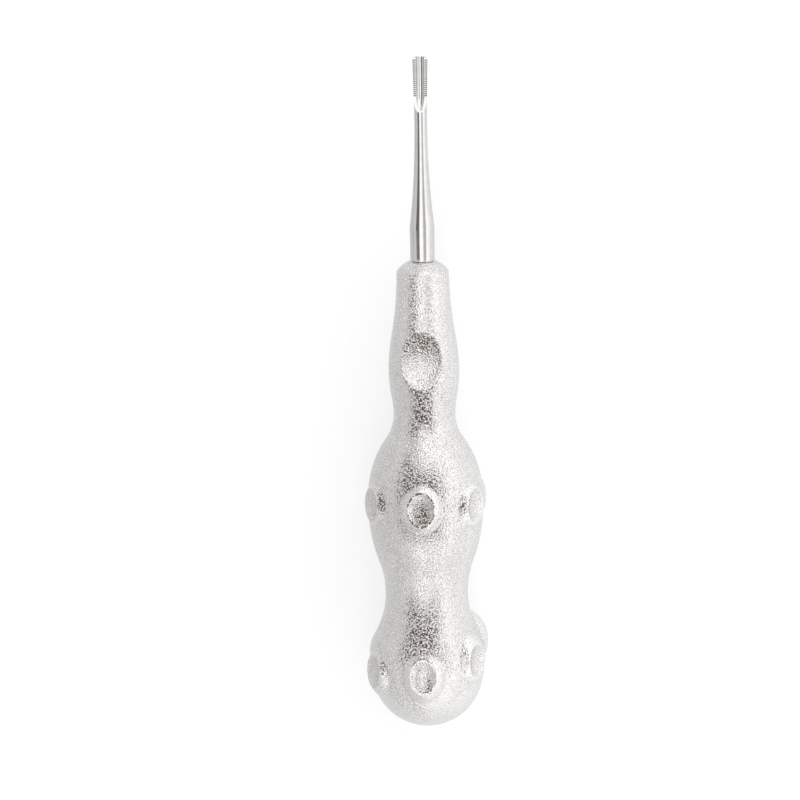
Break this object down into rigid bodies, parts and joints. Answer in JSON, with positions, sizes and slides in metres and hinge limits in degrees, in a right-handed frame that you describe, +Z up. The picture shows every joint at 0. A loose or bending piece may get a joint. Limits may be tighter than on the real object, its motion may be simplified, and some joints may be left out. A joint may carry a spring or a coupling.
{
  "type": "dental elevator",
  "caption": "Hand instrument with a waisted, eye-studded blasted grip and a polished round shank that ends in a narrow serrated gouge.",
  "frame": {"origin": "on the table surface, under the middle of the instrument's length", "axes": "+Y along the instrument towards the blade tip, +Z up through the thumb rest and the channel, +X to the right as the front is looked at with the blade away"},
  "size_m": [0.0302, 0.1714, 0.0309],
  "materials": {
    "blasted_grip": "satin",
    "polished_steel": "polished"
  },
  "bodies": {
    "root": {"handle": "blasted_grip", "blade": "polished_steel"}
  },
  "joints": []
}
